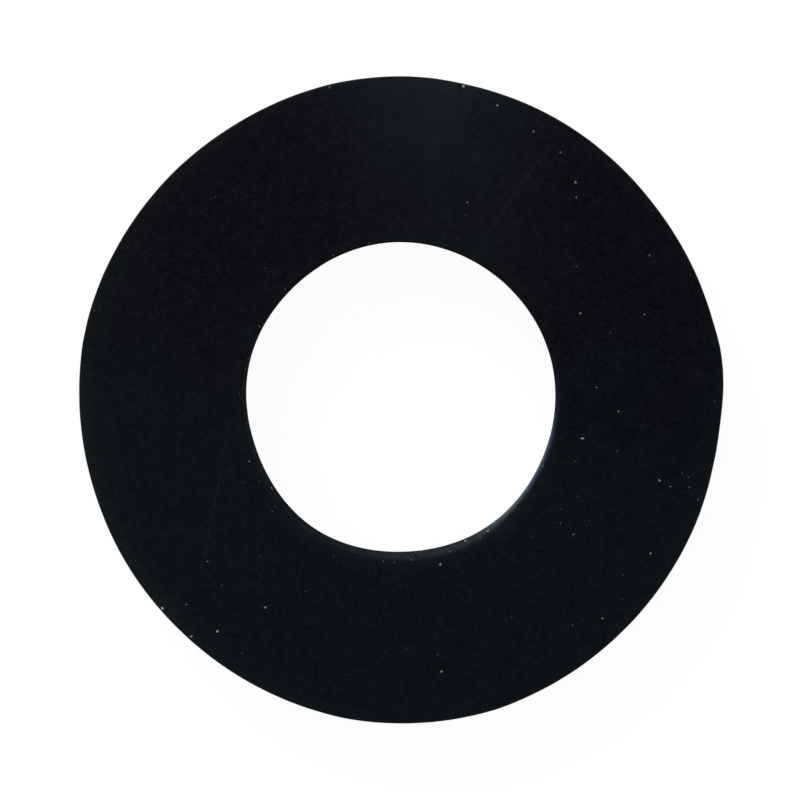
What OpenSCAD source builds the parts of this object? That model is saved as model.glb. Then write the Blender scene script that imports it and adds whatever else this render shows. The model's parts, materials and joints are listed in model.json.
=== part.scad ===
// Flat rubber washer, cut with a die from black sheet.
// It lies on its lower face. The hole's axis is Z, and the origin is where that axis meets the lower face.

/* [Washer] */
// Diameter of the circle that the rim's high spots lie on, in millimetres
outer_d = 25.6; // [18:0.1:40]
// Diameter of the hole
bore_d = 12.6; // [5:0.1:15]
// Thickness of the rubber sheet
thickness = 3.2; // [1:0.1:8]

/* [Out of round] */
// Direction of each flatter stretch of the rim, in degrees from +X towards +Y
flat_directions = [38, 131, 215, 336]; // [0:1:360]
// How far the middle of each flatter stretch lies inside the rim's circle
flat_depths = [0.17, 0.06, 0.16, 0.2]; // [0:0.01:0.4]
// How much longer the radius of a flatter stretch is than the rim circle's own
flat_ease = 0.4; // [0.1:0.1:1.5]
// How far the middle of the rim lies from the hole's axis, along +X
off_centre = 0.04; // [0:0.01:0.3]

/* [Hidden] */
$fn = 180;
rubber_black = [0.06, 0.07, 0.08];
rim_r = outer_d / 2;
flat_r = rim_r + flat_ease;

// A wider circle, set back so that only its arc in the given direction passes inside the rim's circle.
module flat_arc(direction, depth) {
    rotate(direction)
        translate([rim_r - depth - flat_r, 0])
            circle(flat_r);
}

// The rim as the die left it: a circle that each flatter stretch shaves along a shallow arc.
module rim_outline() {
    intersection() {
        circle(rim_r);
        intersection_for (i = [0 : len(flat_directions) - 1])
            flat_arc(flat_directions[i], flat_depths[i]);
    }
}

// The whole washer: both cuts go straight through the sheet, so its edges are square and sharp.
module washer() {
    color(rubber_black)
        linear_extrude(thickness)
            difference() {
                translate([off_centre, 0])
                    rim_outline();
                circle(d = bore_d);
            }
}

washer();
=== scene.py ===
"""A flat black rubber washer, lying on a white table and seen from almost straight above."""
import json
import math
import random

import bmesh
import bpy
from mathutils import Matrix, Vector, noise
from mathutils.bvhtree import BVHTree


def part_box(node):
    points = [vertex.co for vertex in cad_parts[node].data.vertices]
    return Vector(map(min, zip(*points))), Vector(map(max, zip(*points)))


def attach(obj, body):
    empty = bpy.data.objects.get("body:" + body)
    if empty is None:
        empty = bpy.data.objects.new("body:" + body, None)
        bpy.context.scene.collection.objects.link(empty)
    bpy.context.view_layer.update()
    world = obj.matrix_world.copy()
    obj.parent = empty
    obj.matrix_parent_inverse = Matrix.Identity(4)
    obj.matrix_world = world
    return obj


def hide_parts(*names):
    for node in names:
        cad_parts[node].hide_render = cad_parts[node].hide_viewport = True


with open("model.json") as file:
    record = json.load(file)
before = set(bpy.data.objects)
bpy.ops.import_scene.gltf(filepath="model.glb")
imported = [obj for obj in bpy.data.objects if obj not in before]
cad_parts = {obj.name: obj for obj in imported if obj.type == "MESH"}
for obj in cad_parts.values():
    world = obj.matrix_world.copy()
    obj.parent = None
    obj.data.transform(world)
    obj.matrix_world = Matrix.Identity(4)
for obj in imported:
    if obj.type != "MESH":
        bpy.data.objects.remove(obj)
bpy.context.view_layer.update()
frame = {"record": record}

MM = 0.001
UP = Vector((0, 0, 1))
LEVEL = (1, 1, 0)  # times a place, this drops its height

# The solid that the rubber mesh follows: its sizes come from the frame, its rim repeats the solid's arcs.
low_corner, high_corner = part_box("washer")
BOTTOM = low_corner.z
TOP = high_corner.z
THICKNESS = TOP - BOTTOM
MIDDLE_HEIGHT = (BOTTOM + TOP) / 2
BORE_R = next(m["dims"]["r_mm"] for m in frame["record"]["mounts"] if m["name"] == "bore") * MM
RIM_R = 12.8 * MM
MIDDLE_R = (BORE_R + RIM_R) / 2
RIM_MIDDLE = Vector((0.04, 0, 0)) * MM
FLAT_EASE = 0.4 * MM
FLATS = [(38, 0.17), (131, 0.06), (215, 0.16), (336, 0.20)]  # direction in degrees, depth in millimetres

# The mesh of the rubber.
EDGE_ROLL = 0.05 * MM
EDGE_STEPS = 3
FACE_CUTS = 11
WALL_CUTS = 9
SPIN_STEPS = 720
MERGE_WITHIN = 0.0001 * MM
SHEET_WAVE = 0.012 * MM
SHEET_WAVE_LENGTH = 6 * MM
CUT_WAVE = 0.005 * MM
CUT_WAVE_LENGTH = 0.8 * MM
CUT_REACH = 2 * EDGE_ROLL  # points this near to a cut belong to it
# Near a cut the face is paler: partly wear, partly painted glare from the white background.
EDGE_WEAR_AND_GLARE = 0.55 * MM  # how far the wear of an edge reaches
FLAT_NORMAL = 0.99  # a face whose normal stands steeper than this belongs to the sheet's flat sides
FACE, BORE_WALL, RIM_WALL = range(3)  # the rubber's materials, in their order

# How the cuts stray outwards from the solid, in degrees and millimetres.
RIM_STRAYS = [  # direction, half width, distance
    (6, 11, 0.065), (36, 16, -0.02), (60, 14, 0.02), (80, 12, -0.025), (122, 14, -0.02), (212, 16, 0.015),
    (350, 14, -0.04),
]
LIP_STRAYS = [(326, 22, -0.03), (280, 34, 0.06)]  # the same for the hole's upper edge
HOLE_LOBES = [  # how many lobes, direction of one, height
    (1, 235, 0.025), (2, 75, 0.02), (3, -5, 0.01), (4, -25, 0.01), (5, 20, 0.03), (6, -5, 0.01),
]
HOLE_IN = 0.02 * MM

# A nick in the hole's wall.
NICK_TURN = -84.0  # degrees from +X
NICK_HEIGHT = BOTTOM + 1.5 * MM
NICK_WIDE = 0.11 * MM
NICK_TALL = 0.7 * MM
NICK_DEEP = 0.25 * MM

# The camera of the photograph, whose pixels run from the top left corner. It aims at the upper face.
PHOTO_SIDE = 800
PIXELS_PER_MM = 25.34
SENSOR = 36.0
AIM = Vector((-0.020 * MM, 0.077 * MM, TOP))
CAMERA_LEAN = math.radians(3.1)
CAMERA_SIDE = math.radians(0.39)
CAMERA_REACH = 109.6 * MM
NEAREST_SEEN = CAMERA_REACH / 10
FARTHEST_SEEN = CAMERA_REACH * 100

# Dust, placed by where the photograph shows it.
LARGE_GRAINS = [(217, 631), (463, 86), (162, 608), (488, 531), (465, 541)]
BRIGHT_GRAINS = [
    (497, 105), (575, 182), (580, 313), (618, 411), (659, 480), (440, 564), (650, 553), (602, 618),
    (441, 671), (265, 607), (191, 636),
]
PLAIN_GRAINS = [
    (329, 87), (533, 131), (560, 152), (576, 197), (467, 202), (649, 255), (644, 314), (596, 387),
    (480, 538), (450, 552), (411, 560), (249, 461), (207, 561), (186, 604), (247, 358), (244, 368),
    (242, 387), (543, 466),
]
DIM_GRAINS = [
    (688, 477), (689, 487), (698, 499), (560, 523), (394, 562), (572, 625), (275, 506), (272, 511),
    (94, 310), (285, 289), (617, 451), (383, 561), (333, 255), (369, 243),
]
FAINT_GRAINS = [
    (542, 126), (466, 215), (401, 181), (215, 197), (610, 332), (714, 401), (575, 461), (682, 473),
    (577, 496), (560, 509), (589, 520), (532, 536), (333, 556), (623, 575), (622, 599), (583, 620),
    (511, 617), (437, 655), (406, 649), (243, 483), (259, 481), (259, 556), (221, 585), (305, 591),
    (242, 653), (122, 543), (86, 451), (264, 268), (457, 238), (652, 210), (239, 393), (240, 398),
    (576, 266),
]
GRAIN_KINDS = [  # places, width, tone
    (LARGE_GRAINS, 0.115 * MM, 0.23),
    (BRIGHT_GRAINS, 0.098 * MM, 0.155),
    (PLAIN_GRAINS, 0.085 * MM, 0.085),
    (DIM_GRAINS, 0.078 * MM, 0.050),
    (FAINT_GRAINS, 0.068 * MM, 0.034),
]
LONG_GRAINS = [  # place, turn in degrees, width in millimetres, tone
    (582, 438, 0, 0.085, 0.25),
    (670, 486, 25, 0.065, 0.07),
    (573, 534, 30, 0.062, 0.10),
    (271, 488, -60, 0.06, 0.45),
    (259, 326, 90, 0.05, 0.14),
]
LONG_STRETCH = 1.9
WALL_GRAIN = 1.4  # how much larger a grain is that the camera sees edge-on, on a wall
WALL_NORMAL = 0.5  # a surface whose normal stands less steep than this counts as a wall
GRAIN_FINENESS = 2
GRAIN_LIFT = 0.15  # how far the middle of a grain stands off the surface, as a share of its width
GRAIN_TINT = (1.0, 1.03, 1.05)
# The ranges that a grain's chances are drawn from, as shares of its width.
WIDTH_SPREAD = (0.85, 1.15)
LUMP_SPREAD = (0.75, 1.2)
SIDE_SPREAD = (0.75, 1.0)
HEIGHT_SPREAD = (0.5, 0.7)
SEED = 11


def heading(degrees):
    """The level direction at an angle from +X."""
    turn = math.radians(degrees)
    return Vector((math.cos(turn), math.sin(turn), 0))


def new_piece(name, bm, *materials):
    """Turns a bmesh into an object at the origin, smooth shaded."""
    for face in bm.faces:
        face.smooth = True
    mesh = bpy.data.meshes.new(name)
    bm.to_mesh(mesh)
    bm.free()
    for material in materials:
        mesh.materials.append(material)
    made = bpy.data.objects.new(name, mesh)
    bpy.context.scene.collection.objects.link(made)
    return made


# Nodes
#
# Three kinds of setting recur below. A pattern of noise is the width of a feature, how many finer layers
# it has and how strong they are. A step is where it starts and ends, and what it gives there if not 0 and 1.
# A side is a direction in degrees from +X, and then a step over the cosine of the angle from that direction.

MIX_FIRST, MIX_SECOND, MIX_RESULT = 6, 7, 2  # the colour sockets of a Mix node


def put(tree, kind, inputs=None, **properties):
    """Adds a node, sets its properties, and sets or links its inputs."""
    made = tree.nodes.new(kind)
    for name, value in properties.items():
        setattr(made, name, value)
    for name, value in (inputs or {}).items():
        if isinstance(value, bpy.types.NodeSocket):
            tree.links.new(value, made.inputs[name])
        else:
            made.inputs[name].default_value = value
    return made


def maths(tree, operation, first, second=0.0):
    """What a maths node gives for one or two values."""
    return put(tree, "ShaderNodeMath", {0: first, 1: second}, operation=operation).outputs[0]


def product(tree, first, *others):
    """The product of all the values."""
    for other in others:
        first = maths(tree, "MULTIPLY", first, other)
    return first


def vector_maths(tree, operation, first, second=(0, 0, 0)):
    """Vector maths: what it gives is under Vector or Value."""
    return put(tree, "ShaderNodeVectorMath", {0: first, 1: second}, operation=operation).outputs


def ramp(tree, value, start, end, low=0.0, high=1.0):
    """A smooth step from low to high as the value goes from start to end."""
    sockets = {"Value": value, "From Min": start, "From Max": end, "To Min": low, "To Max": high}
    return put(tree, "ShaderNodeMapRange", sockets, interpolation_type="SMOOTHSTEP").outputs["Result"]


def side_step(tree, place, turn, *step):
    """A smooth step by how near a place lies to a direction, as seen from the axis."""
    flat = vector_maths(tree, "MULTIPLY", place, LEVEL)["Vector"]
    outwards = vector_maths(tree, "NORMALIZE", flat)["Vector"]
    cosine = vector_maths(tree, "DOT_PRODUCT", outwards, heading(turn))["Value"]
    return ramp(tree, cosine, *step)


def blend(tree, share, first, second):
    """Mixes two colours."""
    made = put(tree, "ShaderNodeMix", {"Factor": share}, data_type="RGBA")
    for socket, value in ((made.inputs[MIX_FIRST], first), (made.inputs[MIX_SECOND], second)):
        if isinstance(value, bpy.types.NodeSocket):
            tree.links.new(value, socket)
        else:
            socket.default_value = (*value, 1.0)
    return made.outputs[MIX_RESULT]


def added(tree, tone, colour, share):
    """A tone with a share of a colour added to it."""
    sockets = {0: colour, 1: share, 2: tone}
    return put(tree, "ShaderNodeVectorMath", sockets, operation="MULTIPLY_ADD").outputs["Vector"]


def cloud(tree, place, size, detail, fineness):
    """A noise whose features are about that many metres across, with that many finer layers."""
    sockets = {"Vector": place, "Scale": 1 / size, "Detail": detail, "Roughness": fineness}
    return put(tree, "ShaderNodeTexNoise", sockets).outputs["Fac"]


def new_group(name, takes, gives):
    """A shader node group with named sockets: (tree, its inputs, its outputs)."""
    tree = bpy.data.node_groups.new(name, "ShaderNodeTree")
    for socket, kind in takes.items():
        tree.interface.new_socket(socket, in_out="INPUT", socket_type=kind)
    for socket, kind in gives.items():
        tree.interface.new_socket(socket, in_out="OUTPUT", socket_type=kind)
    return tree, tree.nodes.new("NodeGroupInput").outputs, tree.nodes.new("NodeGroupOutput").inputs


def use_group(tree, group, inputs):
    """What a node group gives for its inputs."""
    return put(tree, "ShaderNodeGroup", inputs, node_tree=group).outputs


# Patterns that the materials share

VECTOR, VALUE, COLOUR = "NodeSocketVector", "NodeSocketFloat", "NodeSocketColor"

VIOLET_BLACK = (0.0021, 0.0026, 0.0043)
TEAL_BLACK = (0.0025, 0.0046, 0.0068)
# A painted tint of light: the tone drifts towards teal along -Y.
TEAL_LIGHT_DRIFT = Vector((-0.12, -0.99, 0)) / (14 * MM)  # the way towards teal, for each metre
TINT_CLOUDS = (4 * MM, 2.0, 0.5)
TINT_STEP = (0.1, 0.9)
GRAIN_TONE = (0.0017, 0.0020, 0.0023)
FINE_GRAIN = (0.22 * MM, 3.0, 1.0)
FINE_GRAIN_STEP = (0.25, 0.75, -1.0, 1.0)


def rubber_grain_and_light_tint_group():
    """The sheet's tone: near black, drifting a little between violet and teal, with a fine grain. The drift
    towards teal along -Y is a painted tint of light; the clouds and the grain are the sheet's own.
    """
    tree, takes, gives = new_group("rubber_grain_and_light_tint", {"Place": VECTOR}, {"Tone": COLOUR, "Grain": VALUE})
    place = takes["Place"]
    drift = vector_maths(tree, "DOT_PRODUCT", place, TEAL_LIGHT_DRIFT)["Value"]
    clouds = maths(tree, "ADD", cloud(tree, place, *TINT_CLOUDS), drift)
    tint = blend(tree, ramp(tree, clouds, *TINT_STEP), VIOLET_BLACK, TEAL_BLACK)
    fine = cloud(tree, place, *FINE_GRAIN)
    shade = ramp(tree, fine, *FINE_GRAIN_STEP)
    tree.links.new(added(tree, tint, GRAIN_TONE, shade), gives["Tone"])
    tree.links.new(fine, gives["Grain"])
    return tree


SPECK_CELL = 0.55 * MM
SPECK_HELD = (0.6, 0.95)
SPECK_SIZE = (0.0, 1.0, 0.03, 0.08)  # gives a share of the cell
SPECK_EDGE = (1.0, 0.4)


def dust_film_group():
    """Specks of dust too small to be grains: a share of Voronoi cells holds one."""
    tree, takes, gives = new_group("dust_film", {"Place": VECTOR}, {"Mask": VALUE})
    sockets = {"Vector": takes["Place"], "Scale": 1 / SPECK_CELL}
    cells = put(tree, "ShaderNodeTexVoronoi", sockets).outputs
    chance = put(tree, "ShaderNodeSeparateColor", {"Color": cells["Color"]}).outputs
    held = ramp(tree, chance[0], *SPECK_HELD)
    size = ramp(tree, chance[1], *SPECK_SIZE)
    speck = ramp(tree, maths(tree, "DIVIDE", cells["Distance"], size), *SPECK_EDGE)
    tree.links.new(product(tree, held, speck), gives["Mask"])
    return tree


SCUFF_SIDES = (1.0, 0.0)
SCUFF_ENDS = (1.0, 0.5)


def scuff_group():
    """A rub mark along an arc, faint at its ends."""
    sockets = {
        "Place": VECTOR, "Centre": VECTOR, "Middle": VECTOR,
        "Radius": VALUE, "Reach": VALUE, "Width": VALUE,
    }
    tree, takes, gives = new_group("scuff", sockets, {"Mask": VALUE})
    from_centre = vector_maths(tree, "DISTANCE", takes["Place"], takes["Centre"])["Value"]
    from_middle = vector_maths(tree, "DISTANCE", takes["Place"], takes["Middle"])["Value"]
    aside = maths(tree, "ABSOLUTE", maths(tree, "SUBTRACT", from_centre, takes["Radius"]))
    line = ramp(tree, maths(tree, "DIVIDE", aside, takes["Width"]), *SCUFF_SIDES)
    along = ramp(tree, maths(tree, "DIVIDE", from_middle, takes["Reach"]), *SCUFF_ENDS)
    tree.links.new(product(tree, line, along), gives["Mask"])
    return tree


DRAG_STRETCH = (1, 1, 0.06)
DRAG_LINES = (0.25 * MM, 2.0, 0.5)


def cut_lines_group():
    """The drag lines that a die leaves, which run through the thickness."""
    tree, takes, gives = new_group("cut_lines", {"Place": VECTOR}, {"Lines": VALUE})
    stretched = vector_maths(tree, "MULTIPLY", takes["Place"], DRAG_STRETCH)["Vector"]
    tree.links.new(cloud(tree, stretched, *DRAG_LINES), gives["Lines"])
    return tree


RUBBER_GRAIN_AND_LIGHT_TINT = rubber_grain_and_light_tint_group()
CUT_LINES = cut_lines_group()
DUST_FILM = dust_film_group()
SCUFF = scuff_group()


# Materials

SPECK_TONE = (0.06, 0.065, 0.07)
BUMP_DEPTH = 0.02 * MM


def new_material(name):
    """A material with its Principled shader: (material, tree, shader)."""
    made = bpy.data.materials.new(name)
    made.use_nodes = True
    return made, made.node_tree, made.node_tree.nodes["Principled BSDF"]


def own_place(tree):
    """The place of a point in the piece's own frame."""
    return put(tree, "ShaderNodeTexCoord").outputs["Object"]


def bumped(tree, shader, height, strength):
    """Lets a height ruffle the shader's normal."""
    sockets = {"Height": height, "Strength": strength, "Distance": BUMP_DEPTH}
    made = put(tree, "ShaderNodeBump", sockets)
    tree.links.new(made.outputs["Normal"], shader.inputs["Normal"])


# The flat face: its rub marks
RUBBED_TONE = (0.012, 0.015, 0.017)
SCUFFS = [  # start, end, bow to the left and width, all in millimetres, and strength
    ((2.4, 5.0), (6.35, 10.7), 0.09, 0.15, 0.65),
    ((-6.75, -0.3), (-8.05, -7.3), 0.11, 0.08, 0.7),
    ((-8.58, -0.5), (-6.18, 1.5), 0.02, 0.45, 0.22),
    ((7.2, -1.5), (8.5, -2.1), 0.05, 0.18, 0.3),
    ((-2.5, -10.43), (1.0, -11.23), 0.06, 0.07, 0.25),
    ((-2.5, -10.7), (1.0, -11.5), 0.06, 0.06, 0.2),
    ((-2.5, -10.95), (1.0, -11.75), 0.06, 0.07, 0.25),
    ((-5.6, 6.0), (-5.1, 8.6), 0.04, 0.08, 0.3),
]
SCUFF_BREAKS = (0.25 * MM, 3.0, 0.5)
SCUFF_BREAK_STEP = (0.35, 0.65, 0.2, 1.0)
SCUFF_SHARE = 0.5
SCUFF_ROUGHNESS = 0.1
# A painted sheen that leans, and grows towards +Y
SHEEN_X = 3.6 * MM
SHEEN_LEAN = 0.2
SHEEN_SIDES = (6.0 * MM, 0.0)
SHEEN_CLIMB = (1.5 * MM, 6.5 * MM, 0.0, 0.28)
SHEEN_TOP = (7 * MM, RIM_R, 0.0, 0.48)
# A pale ring beside the rim: painted glare from the white background
GLARE_RING_SIDE = (198, 0.4, 1.0, 0.3, 1.0)
GLARE_RING_EDGE = (0.85 * RIM_R, RIM_R, 0.0, 0.2)
# The two edges: paler, partly from wear and partly from painted glare from the white background
RIM_WEAR_AND_GLARE = (150, -0.2, 0.6, 0.10, 0.28)
LIP_WEAR_AND_GLARE = (290, 0.2, 0.9, 0.16, 0.36)
LIP_TO_RIM = (0.7 * RIM_R, 0.8 * RIM_R)
WEAR_AND_GLARE_CLOUDS = (2.5 * MM, 3.0, 0.5)
WEAR_AND_GLARE_CLOUD_STEP = (0.35, 0.65, 0.5, 1.4)
# What these three add to the tone, as painted light with some real wear, and how uneven they are
PAINTED_LIGHT_AND_WEAR_TONE = (0.0047, 0.0077, 0.0078)
LIGHT_AND_WEAR_CLOUDS = (1.0 * MM, 4.0, 0.7)
LIGHT_AND_WEAR_CLOUD_STEP = (0.3, 0.7, 0.8, 1.2)
FACE_SPECKS = 0.3
FACE_ROUGHNESS = (0.3, 0.7, 0.42, 0.48)
FACE_GLOSS = 0.10
FACE_BUMP = 1.0


def scuff_inputs(start, end, bow, width):
    """The scuff group's values for a mark on the face."""
    start = Vector((*start, 0)) * MM
    end = Vector((*end, 0)) * MM
    bow = bow * MM
    middle = (start + end) / 2 + UP * TOP
    chord = end - start
    radius = (chord.length / 2) ** 2 / (2 * bow) + bow / 2
    left = UP.cross(chord.normalized())
    return {
        "Centre": middle + left * (bow - radius),
        "Middle": middle,
        "Radius": radius,
        "Reach": chord.length / 2,
        "Width": width * MM,
    }


def rub_marks(tree, place):
    """How strong a rub mark is, broken up along its way."""
    marks = 0.0
    for start, end, bow, width, strength in SCUFFS:
        inputs = {"Place": place, **scuff_inputs(start, end, bow, width)}
        mark = use_group(tree, SCUFF, inputs)["Mask"]
        marks = maths(tree, "ADD", product(tree, mark, strength), marks)
    broken = ramp(tree, cloud(tree, place, *SCUFF_BREAKS), *SCUFF_BREAK_STEP)
    return product(tree, marks, broken)


def face_light_and_wear(tree, place):
    """How much paler the face is, by a painted sheen, a ring of painted glare beside the rim, and edges that
    are partly worn and partly painted glare.
    """
    across, along, _ = put(tree, "ShaderNodeSeparateXYZ", {0: place}).outputs
    leaning = maths(tree, "ADD", across, product(tree, along, SHEEN_LEAN))
    aside = maths(tree, "ABSOLUTE", maths(tree, "SUBTRACT", leaning, SHEEN_X))
    climb = maths(tree, "ADD", ramp(tree, along, *SHEEN_CLIMB), ramp(tree, along, *SHEEN_TOP))
    sheen = product(tree, ramp(tree, aside, *SHEEN_SIDES), climb)
    flat = vector_maths(tree, "MULTIPLY", place, LEVEL)["Vector"]
    out = vector_maths(tree, "LENGTH", flat)["Value"]
    ring = product(tree, side_step(tree, place, *GLARE_RING_SIDE), ramp(tree, out, *GLARE_RING_EDGE))
    edge_wear_and_glare = put(tree, "ShaderNodeAttribute", attribute_name="edge_wear_and_glare").outputs["Fac"]
    lip_wear_and_glare = side_step(tree, place, *LIP_WEAR_AND_GLARE)
    rim_wear_and_glare = side_step(tree, place, *RIM_WEAR_AND_GLARE)
    patchy = ramp(tree, cloud(tree, place, *WEAR_AND_GLARE_CLOUDS), *WEAR_AND_GLARE_CLOUD_STEP)
    wear_and_glare = product(tree, edge_wear_and_glare, ramp(tree, out, *LIP_TO_RIM, lip_wear_and_glare, rim_wear_and_glare), patchy)
    paler = maths(tree, "ADD", maths(tree, "ADD", sheen, ring), wear_and_glare)
    uneven = ramp(tree, cloud(tree, place, *LIGHT_AND_WEAR_CLOUDS), *LIGHT_AND_WEAR_CLOUD_STEP)
    return product(tree, paler, uneven)


def face_material():
    """The sheet's flat face: matt, with a fine grain, a painted sheen and glare, paler worn edges, a film of
    dust and a few rub marks.
    """
    made, tree, shader = new_material("rubber_face")
    place = own_place(tree)
    rubber = use_group(tree, RUBBER_GRAIN_AND_LIGHT_TINT, {"Place": place})
    film = use_group(tree, DUST_FILM, {"Place": place})["Mask"]
    marks = rub_marks(tree, place)
    lit_and_worn = added(tree, rubber["Tone"], PAINTED_LIGHT_AND_WEAR_TONE, face_light_and_wear(tree, place))
    scuffed = blend(tree, product(tree, marks, SCUFF_SHARE), lit_and_worn, RUBBED_TONE)
    dusted = blend(tree, product(tree, film, FACE_SPECKS), scuffed, SPECK_TONE)
    tree.links.new(dusted, shader.inputs["Base Color"])
    rough = ramp(tree, rubber["Grain"], *FACE_ROUGHNESS)
    rough = maths(tree, "ADD", rough, product(tree, marks, SCUFF_ROUGHNESS))
    tree.links.new(rough, shader.inputs["Roughness"])
    shader.inputs["Specular IOR Level"].default_value = FACE_GLOSS
    bumped(tree, shader, rubber["Grain"], FACE_BUMP)
    return made


DRAG_TONE = (0.008, 0.009, 0.010)
DRAG_STEP = (0.35, 0.75, 0.0, 0.25)
DRAG_BUMP = 0.2
WALL_SPECKS = 0.5
WALL_ROUGHNESS = (0.3, 0.7, 0.7, 0.9)
BORE_GLOSS = 0.0
RIM_GLOSS = 0.15


def cut_material(name, wear_and_light_tone, gloss):
    """A wall that the die cut: dull, with drag lines, and with a tone made from the sheet's by the function
    given: rubbed patches on the rim, painted light and shade in the hole.
    """
    made, tree, shader = new_material(name)
    place = own_place(tree)
    rubber = use_group(tree, RUBBER_GRAIN_AND_LIGHT_TINT, {"Place": place})
    lines = use_group(tree, CUT_LINES, {"Place": place})["Lines"]
    film = use_group(tree, DUST_FILM, {"Place": place})["Mask"]
    tone = wear_and_light_tone(tree, place, rubber["Tone"])
    lined = blend(tree, ramp(tree, lines, *DRAG_STEP), tone, DRAG_TONE)
    dusted = blend(tree, product(tree, film, WALL_SPECKS), lined, SPECK_TONE)
    tree.links.new(dusted, shader.inputs["Base Color"])
    tree.links.new(ramp(tree, lines, *WALL_ROUGHNESS), shader.inputs["Roughness"])
    shader.inputs["Specular IOR Level"].default_value = gloss
    bumped(tree, shader, lines, DRAG_BUMP)
    return made


# The hole's wall, greyed by painted light: how grey it is, on the side that the camera sees best and on the
# one across from it
WALL_GREY = (0.028, 0.035, 0.041)
GREY_LEAST = 0.1
GREY_NEAR = (318, 0.35, 0.95, 0.42, 0.72)
GREY_FAR = (318, 0.1, -0.5)
GREY_FAR_HEIGHT = (TOP, BOTTOM, 0.2, 1.1)
GREY_MOTTLE = (0.45 * MM, 3.0, 0.7)
GREY_MOTTLE_STEP = (0.3, 0.7, 0.6, 1.35)
# Where it is dimmer, in painted shade: on one side, in a ragged strip under the lip, and on the lip itself
DIM_SIDE = (5, 0.87, 0.98, 1.0, 0.68)
STRIP_SIDE = (285, 0.3, 0.8)
STRIP_HEIGHT = (TOP - 0.9 * MM, TOP, 0.0, 0.6)
STRIP_RAGGED = 0.8 * MM
LIP_HEIGHT = (TOP, TOP - 4 * EDGE_ROLL, 0.1, 1.0)
# Where it is bluer, and where it is pale: both painted light
WALL_BLUE = (0.024, 0.031, 0.057)
BLUE_SIDE = (355, 0.75, 1.0)
WALL_PAINTED_LIGHT = (0.084, 0.113, 0.150)
PALE_SIDE = (328, 0.848, 0.98)
PALE_HEIGHT = (BOTTOM + 0.75 * THICKNESS, BOTTOM)
# The painted shade in the nick, as wide as the nick and as tall
NICK_PAINTED_SHADE = (0.003, 0.0035, 0.004)
NICK_SQUASH = (1, 0.3, NICK_WIDE / NICK_TALL)
NICK_EDGE = (1.2 * NICK_WIDE, 0.5 * NICK_WIDE)


def nick_painted_shade(tree, place):
    """One inside the nick, where its shade is painted, and nothing outside it."""
    middle = heading(NICK_TURN) * BORE_R + UP * NICK_HEIGHT
    aside = vector_maths(tree, "SUBTRACT", place, middle)["Vector"]
    squashed = vector_maths(tree, "MULTIPLY", aside, NICK_SQUASH)["Vector"]
    return ramp(tree, vector_maths(tree, "LENGTH", squashed)["Value"], *NICK_EDGE)


def bore_painted_light(tree, place, tone):
    """The hole's wall in painted light and shade: greyer than the sheet, dim under part of its lip, pale
    along a stretch lower down.
    """
    height = put(tree, "ShaderNodeSeparateXYZ", {0: place}).outputs["Z"]
    mottle = cloud(tree, place, *GREY_MOTTLE)
    share = product(tree, side_step(tree, place, *GREY_NEAR), ramp(tree, mottle, *GREY_MOTTLE_STEP))
    far = product(tree, side_step(tree, place, *GREY_FAR), ramp(tree, height, *GREY_FAR_HEIGHT))
    share = product(tree, share, maths(tree, "ADD", far, 1.0), side_step(tree, place, *DIM_SIDE))
    edge = maths(tree, "ADD", height, product(tree, mottle, STRIP_RAGGED))
    strip = product(tree, ramp(tree, edge, *STRIP_HEIGHT), side_step(tree, place, *STRIP_SIDE))
    share = product(tree, share, maths(tree, "SUBTRACT", 1.0, strip), ramp(tree, height, *LIP_HEIGHT))
    grey = blend(tree, side_step(tree, place, *BLUE_SIDE), WALL_GREY, WALL_BLUE)
    wall = blend(tree, maths(tree, "MAXIMUM", share, GREY_LEAST), tone, grey)
    stretch = product(tree, side_step(tree, place, *PALE_SIDE), ramp(tree, height, *PALE_HEIGHT))
    paler = blend(tree, stretch, wall, WALL_PAINTED_LIGHT)
    return blend(tree, nick_painted_shade(tree, place), paler, NICK_PAINTED_SHADE)


RIM_RUBBED = (0.012, 0.0135, 0.015)
RIM_CLOUDS = (1.5 * MM, 4.0, 0.6)
RIM_CLOUD_STEP = (0.35, 0.7, 0.3, 1.0)


def worn_rim(tree, place, tone):
    """The rim's wall: a little greyer than the sheet, most of all in scattered rubbed patches."""
    patches = ramp(tree, cloud(tree, place, *RIM_CLOUDS), *RIM_CLOUD_STEP)
    return blend(tree, patches, tone, RIM_RUBBED)


DUST_ROUGHNESS = 0.9
DUST_GLOSS = 0.2


def grain_material():
    """Dust grains, each with its own tone from pale grey to dark grey."""
    made, tree, shader = new_material("dust_grain")
    tone = put(tree, "ShaderNodeAttribute", attribute_name="tone").outputs["Color"]
    tree.links.new(tone, shader.inputs["Base Color"])
    shader.inputs["Roughness"].default_value = DUST_ROUGHNESS
    shader.inputs["Specular IOR Level"].default_value = DUST_GLOSS
    return made


# The rubber

def rim_reach(direction):
    """How far the rim lies from the hole's axis: the nearest of the rim's circle and its flatter arcs."""
    circles = [(RIM_MIDDLE, RIM_R)]
    for turn, depth in FLATS:
        circles.append((RIM_MIDDLE - heading(turn) * (FLAT_EASE + depth * MM), RIM_R + FLAT_EASE))
    reaches = []
    for centre, radius in circles:
        along = direction.dot(centre)
        reaches.append(along + math.sqrt(along ** 2 - centre.length_squared + radius ** 2))
    return min(reaches)


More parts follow.
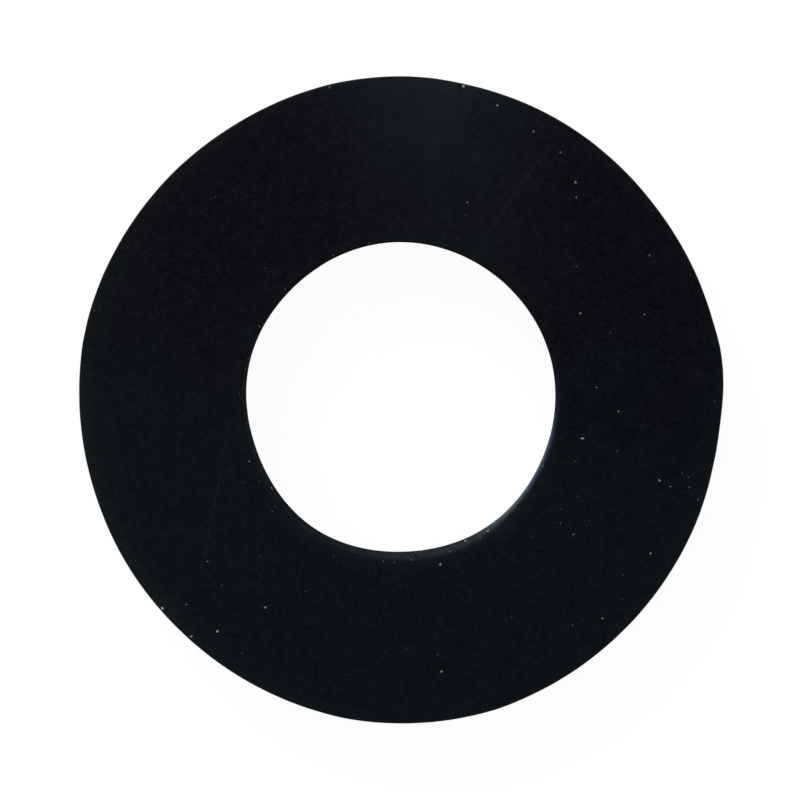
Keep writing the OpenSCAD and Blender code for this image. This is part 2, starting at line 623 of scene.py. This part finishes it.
def washer_section(bm):
    """The washer's section beside its axis: a rectangle with rolled corners, its sides cut finely."""
    width = RIM_R - BORE_R
    bmesh.ops.create_grid(bm, x_segments=1, y_segments=1, size=0.5)  # a square with sides of one
    stand = Matrix.Rotation(math.radians(90), 4, "X")
    place = Matrix.Translation((MIDDLE_R, 0, MIDDLE_HEIGHT))
    size = Matrix.Diagonal((width, THICKNESS, 1, 1))
    bmesh.ops.transform(bm, matrix=place @ stand @ size, verts=bm.verts)
    bmesh.ops.bevel(
        bm, geom=bm.verts[:], offset=EDGE_ROLL, offset_type="OFFSET", affect="VERTICES",
        segments=EDGE_STEPS, profile=0.5, material=-1,
    )
    bmesh.ops.delete(bm, geom=bm.faces[:], context="FACES_ONLY")
    flat = [e for e in bm.edges if e.calc_length() > width / 2]
    upright = [e for e in bm.edges if e not in flat and e.calc_length() > THICKNESS / 2]
    bmesh.ops.subdivide_edges(bm, edges=flat, cuts=FACE_CUTS)
    bmesh.ops.subdivide_edges(bm, edges=upright, cuts=WALL_CUTS)


def follow_rim(bm):
    """Draws each spoke of the ring in or out until its outer end lies on the rim's outline."""
    for vert in bm.verts:
        flat = Vector((vert.co.x, vert.co.y, 0))
        direction = flat.normalized()
        share = (flat.length - BORE_R) / (RIM_R - BORE_R)
        place = direction * (BORE_R + share * (rim_reach(direction) - BORE_R))
        vert.co.x, vert.co.y = place.x, place.y


def stray(turn, strays):
    """How far a cut strays outwards in a direction that is given in degrees."""
    total = 0.0
    for middle, half, distance in strays:
        aside = abs((turn - middle + 180) % 360 - 180)
        if aside < half:
            total += distance * MM * (1 + math.cos(math.pi * aside / half)) / 2
    return total


def cut_shift(place, turn, in_hole):
    """How far outwards a point of a cut wall or its edge lies from the solid."""
    shift = noise.noise(place / CUT_WAVE_LENGTH) * CUT_WAVE
    if not in_hole:
        return shift + stray(turn, RIM_STRAYS)
    height = (place.z - BOTTOM) / THICKNESS
    shift += height * stray(turn, LIP_STRAYS) - HOLE_IN
    for count, direction, lobe in HOLE_LOBES:
        shift += lobe * MM * math.cos(math.radians(count * (turn - direction)))
    across = BORE_R * math.radians(turn - NICK_TURN)
    aside = math.hypot(across / NICK_WIDE, (place.z - NICK_HEIGHT) / NICK_TALL)
    return shift + NICK_DEEP * max(0, 1 - aside ** 2)


def wear_surface(bm):
    """Gives the upper face its slight wave and the cuts their unevenness, and notes how near each point lies
    to an edge, for the edges' wear and painted glare.
    """
    edge_wear_and_glare = bm.verts.layers.float.new("edge_wear_and_glare")
    for vert in bm.verts:
        flat = Vector((vert.co.x, vert.co.y, 0))
        direction = flat.normalized()
        from_hole = flat.length - BORE_R
        from_rim = rim_reach(direction) - flat.length
        vert[edge_wear_and_glare] = max(0, 1 - min(from_hole, from_rim) / EDGE_WEAR_AND_GLARE)
        if vert.co.z > MIDDLE_HEIGHT:
            vert.co.z -= SHEET_WAVE * (noise.noise(flat / SHEET_WAVE_LENGTH) + 1) / 2
        if min(from_hole, from_rim) < CUT_REACH:
            turn = math.degrees(math.atan2(direction.y, direction.x))
            place = flat + direction * cut_shift(vert.co, turn, from_hole < from_rim)
            vert.co.x, vert.co.y = place.x, place.y


def washer_mesh():
    """The whole ring of rubber, spun from its section."""
    bm = bmesh.new()
    washer_section(bm)
    bmesh.ops.spin(
        bm, geom=bm.verts[:] + bm.edges[:], cent=(0, 0, 0), axis=UP, angle=math.tau,
        steps=SPIN_STEPS, use_merge=True,
    )
    bmesh.ops.remove_doubles(bm, verts=bm.verts, dist=MERGE_WITHIN)
    follow_rim(bm)
    wear_surface(bm)
    bmesh.ops.recalc_face_normals(bm, faces=bm.faces)
    bm.normal_update()
    for face in bm.faces:
        if abs(face.normal.z) > FLAT_NORMAL:
            face.material_index = FACE
        else:
            outside = face.calc_center_median().to_2d().length > MIDDLE_R
            face.material_index = RIM_WALL if outside else BORE_WALL
    for edge in bm.edges:
        edge.smooth = len({face.material_index for face in edge.link_faces}) == 1
    return bm


# The camera

def camera_axes():
    """The camera's place, and the directions to its right, to its top and backwards."""
    back = Vector((math.sin(CAMERA_SIDE), math.sin(CAMERA_LEAN), 0))
    back.z = math.sqrt(1 - back.length_squared)
    right = Vector((0, 1, 0)).cross(back).normalized()
    return AIM + back * CAMERA_REACH, right, back.cross(right), back


def add_camera():
    """The camera that took the photograph, with its place and its lens."""
    place, right, top, back = camera_axes()
    data = bpy.data.cameras.new("camera")
    data.sensor_width = SENSOR
    data.lens = PIXELS_PER_MM / MM * CAMERA_REACH * SENSOR / PHOTO_SIDE
    data.clip_start = NEAREST_SEEN
    data.clip_end = FARTHEST_SEEN
    made = bpy.data.objects.new("camera", data)
    turn = Matrix((right, top, back)).transposed()
    made.matrix_world = Matrix.Translation(place) @ turn.to_4x4()
    bpy.context.scene.collection.objects.link(made)
    bpy.context.scene.camera = made


# Dust

def seen_at(tree, x, y):
    """Where a pixel of the photograph meets the rubber: (place, normal)."""
    eye, right, top, back = camera_axes()
    middle = (PHOTO_SIDE - 1) / 2
    pixel = MM / PIXELS_PER_MM / CAMERA_REACH
    ray = right * (x - middle) * pixel + top * (middle - y) * pixel - back
    place, normal, _, _ = tree.ray_cast(eye, ray.normalized())
    if place is None:
        raise ValueError(f"the pixel {x}, {y} lies beside the rubber")
    return place, normal


def add_grain(bm, tones, chance, place, normal, across, tone, turn, stretch=1.0):
    """One lump of dust, sunk a little into the surface that carries it."""
    made = bmesh.ops.create_icosphere(bm, subdivisions=GRAIN_FINENESS, radius=across / 2)["verts"]
    for vert in made:
        vert.co *= chance.uniform(*LUMP_SPREAD)
    shape = Matrix.Diagonal((stretch, chance.uniform(*SIDE_SPREAD), chance.uniform(*HEIGHT_SPREAD), 1))
    lie = UP.rotation_difference(normal).to_matrix().to_4x4() @ Matrix.Rotation(turn, 4, "Z")
    lift = Matrix.Translation(place + normal * across * GRAIN_LIFT)
    bmesh.ops.transform(bm, matrix=lift @ lie @ shape, verts=made)
    for vert in made:
        vert[tones] = (*(tone * tint for tint in GRAIN_TINT), 1.0)


def dust_mesh(rubber):
    """Every grain that the photograph shows, on the rubber where it shows it."""
    tree = BVHTree.FromBMesh(rubber)
    chance = random.Random(SEED)
    bm = bmesh.new()
    tones = bm.verts.layers.float_color.new("tone")
    for pixels, across, tone in GRAIN_KINDS:
        for x, y in pixels:
            place, normal = seen_at(tree, x, y)
            size = across * chance.uniform(*WIDTH_SPREAD)
            if normal.z < WALL_NORMAL:
                size *= WALL_GRAIN
            turn = chance.uniform(0, math.tau)
            add_grain(bm, tones, chance, place, normal, size, tone, turn)
    for x, y, turn, across, tone in LONG_GRAINS:
        place, normal = seen_at(tree, x, y)
        add_grain(bm, tones, chance, place, normal, across * MM, tone, math.radians(turn), LONG_STRETCH)
    bmesh.ops.recalc_face_normals(bm, faces=bm.faces)
    return bm


# The stage

WHITE = (1, 1, 1, 1)
TABLE_ACROSS = 4.0
TABLE_SIDES = 64
TABLE_GAP = 0.01 * MM
TABLE_TONE = (0.9, 0.9, 0.9, 1)
TABLE_GLOW = 1.03
SHADOW_SHARE = 0.08
KEY_TURN = 120  # degrees from +X
KEY_RISE = math.radians(34)
KEY_REACH = 0.35
KEY_ACROSS = 0.2
KEY_WATTS = 1.05
ROOM_LIGHT = 0.6
ROOM_SHOWN = (0.05, 0.45, 1.0, 0.015)  # a step over height, from the horizon to the ceiling


def seen_rays(tree):
    """One where a ray comes from the camera, or shows the background in a gloss or through glass."""
    path = put(tree, "ShaderNodeLightPath").outputs
    seen = maths(tree, "MAXIMUM", path["Is Camera Ray"], path["Is Glossy Ray"])
    return maths(tree, "MAXIMUM", seen, path["Is Transmission Ray"])


def add_table():
    """A white table that shows as white and keeps a soft shadow of the washer."""
    material = bpy.data.materials.new("white_table")
    material.use_nodes = True
    tree = material.node_tree
    tree.nodes.clear()
    matt = put(tree, "ShaderNodeBsdfDiffuse", {"Color": TABLE_TONE}).outputs[0]
    white = put(tree, "ShaderNodeEmission", {"Color": WHITE, "Strength": TABLE_GLOW}).outputs[0]
    share = product(tree, seen_rays(tree), 1 - SHADOW_SHARE)
    mixed = put(tree, "ShaderNodeMixShader", {0: share, 1: matt, 2: white}).outputs[0]
    put(tree, "ShaderNodeOutputMaterial", {"Surface": mixed})
    bm = bmesh.new()
    bmesh.ops.create_circle(bm, cap_ends=True, segments=TABLE_SIDES, radius=TABLE_ACROSS / 2)
    bmesh.ops.translate(bm, verts=bm.verts, vec=(0, 0, BOTTOM - TABLE_GAP))
    floor = new_piece("table", bm, material)


def add_room():
    """Even light from all round; what is seen of it is white at the horizon and dark overhead."""
    world = bpy.data.worlds.new("room")
    bpy.context.scene.world = world
    world.use_nodes = True
    tree = world.node_tree
    tree.nodes.clear()
    direction = put(tree, "ShaderNodeTexCoord").outputs["Generated"]
    height = put(tree, "ShaderNodeSeparateXYZ", {0: direction}).outputs["Z"]
    seen = seen_rays(tree)
    lit = product(tree, maths(tree, "SUBTRACT", 1.0, seen), ROOM_LIGHT)
    shown = product(tree, seen, ramp(tree, height, *ROOM_SHOWN))
    strength = maths(tree, "ADD", lit, shown)
    light = put(tree, "ShaderNodeBackground", {"Color": WHITE, "Strength": strength}).outputs[0]
    put(tree, "ShaderNodeOutputWorld", {"Surface": light})


def add_key_light():
    """A square soft light that faces the washer."""
    data = bpy.data.lights.new("key_light", "AREA")
    data.shape = "SQUARE"
    data.size = KEY_ACROSS
    data.energy = KEY_WATTS
    towards = heading(KEY_TURN) * math.cos(KEY_RISE) + UP * math.sin(KEY_RISE)
    turned = towards.to_track_quat("Z", "Y").to_matrix().to_4x4()
    made = bpy.data.objects.new("key_light", data)
    made.matrix_world = Matrix.Translation(towards * KEY_REACH) @ turned
    bpy.context.scene.collection.objects.link(made)


def main():
    bpy.context.scene.view_settings.view_transform = "Standard"
    add_camera()
    add_room()
    add_table()
    add_key_light()

    rubber = washer_mesh()
    grains = dust_mesh(rubber)
    bore = cut_material("rubber_bore", bore_painted_light, BORE_GLOSS)
    rim = cut_material("rubber_rim", worn_rim, RIM_GLOSS)
    washer = new_piece("rubber_washer", rubber, face_material(), bore, rim)
    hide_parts("washer")
    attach(washer, "root")
    dust = new_piece("dust_grains", grains, grain_material())
    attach(dust, "root")


main()
